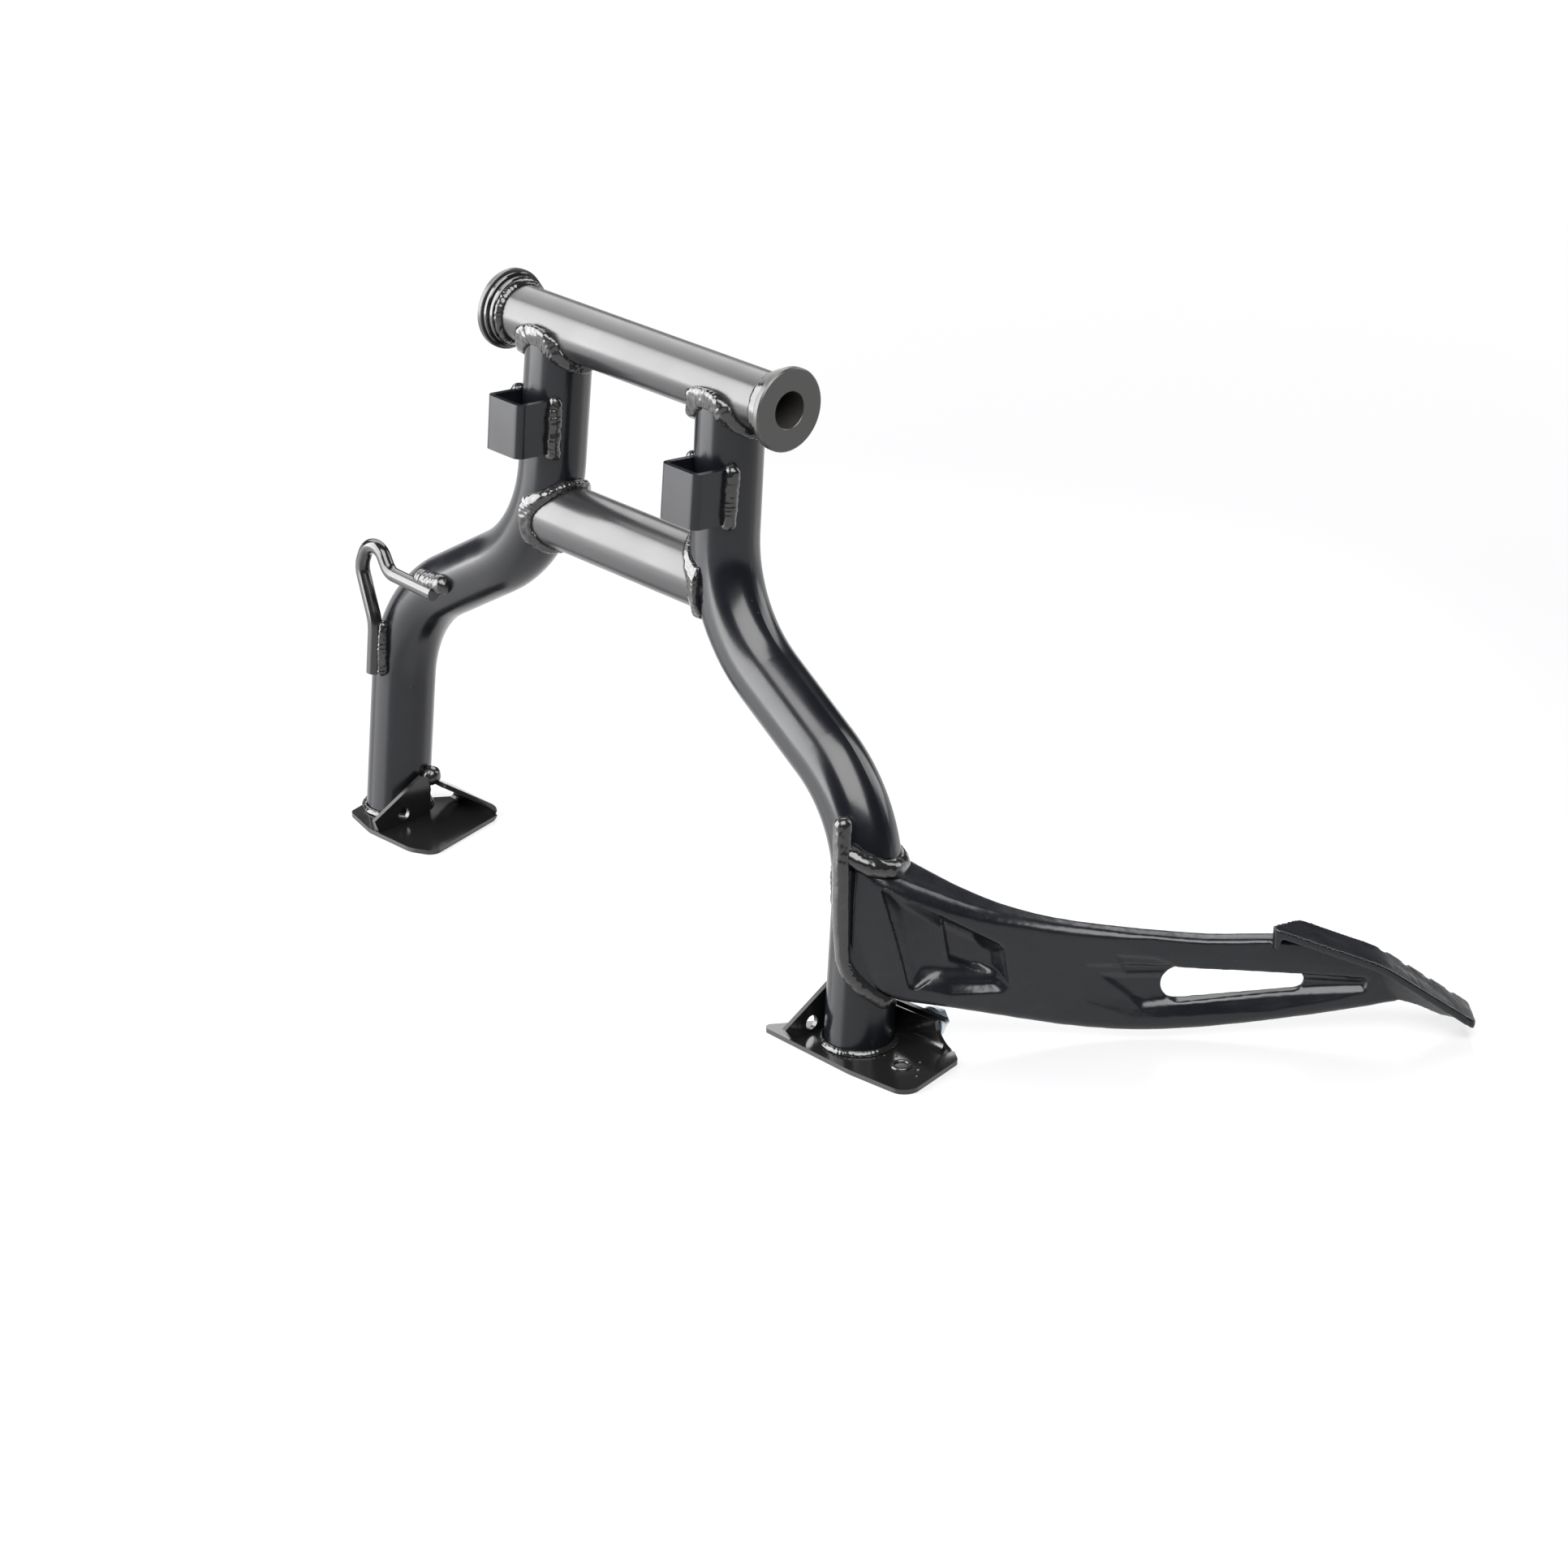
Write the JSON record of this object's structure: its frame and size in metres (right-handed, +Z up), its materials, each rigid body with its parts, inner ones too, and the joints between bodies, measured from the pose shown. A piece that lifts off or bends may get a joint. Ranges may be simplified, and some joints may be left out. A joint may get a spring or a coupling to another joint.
{
  "type": "motorcycle centre stand",
  "caption": "Motorcycle centre stand: two splayed tube legs on a bushed pivot tube, with a cross tube, stop brackets, foot plates and a slotted foot lever.",
  "frame": {"origin": "middle of the pivot axis, halfway between the outer faces of the two bush flanges", "axes": "+X along the pivot towards the foot lever's side, +Z up in the standing pose, +Y to the rear, so that the stop brackets and the bent rod face -Y"},
  "size_m": [0.5984, 0.2749, 0.3268],
  "materials": {
    "black_coat": "satin black powder coat",
    "weld_coat": "glossy black coat over rippled weld",
    "bush": "dark flanged plain bush",
    "zinc": "pale blue zinc plate"
  },
  "bodies": {
    "root": {"pivot_tube": "black_coat", "cross_tube": "black_coat", "hook_rod": "black_coat", "weld_rod_upper": "weld_coat", "weld_rod_lower": "weld_coat", "foot_right": "black_coat", "foot_left": "black_coat", "gusset_right": "black_coat", "gusset_left": "black_coat", "foot_lever": "black_coat", "stop_tab": "black_coat", "stop_bolt": "zinc", "stop_washer": "zinc", "weld_strip_left": "weld_coat", "weld_lever_front": "weld_coat", "weld_lever_back": "weld_coat", "weld_lever_top": "weld_coat", "collar_right": "black_coat", "bush_right": "bush", "weld_collar_right": "weld_coat", "leg_right": "black_coat", "weld_pivot_right": "weld_coat", "weld_cross_right": "weld_coat", "bracket_right": "black_coat", "weld_bracket_right_outer": "weld_coat", "weld_bracket_right_inner": "weld_coat", "weld_foot_right": "weld_coat", "weld_gusset_right": "weld_coat", "collar_left": "black_coat", "bush_left": "bush", "weld_collar_left": "weld_coat", "leg_left": "black_coat", "weld_pivot_left": "weld_coat", "weld_cross_left": "weld_coat", "bracket_left": "black_coat", "weld_bracket_left_outer": "weld_coat", "weld_bracket_left_inner": "weld_coat", "weld_foot_left": "weld_coat", "weld_gusset_left": "weld_coat"}
  },
  "joints": []
}
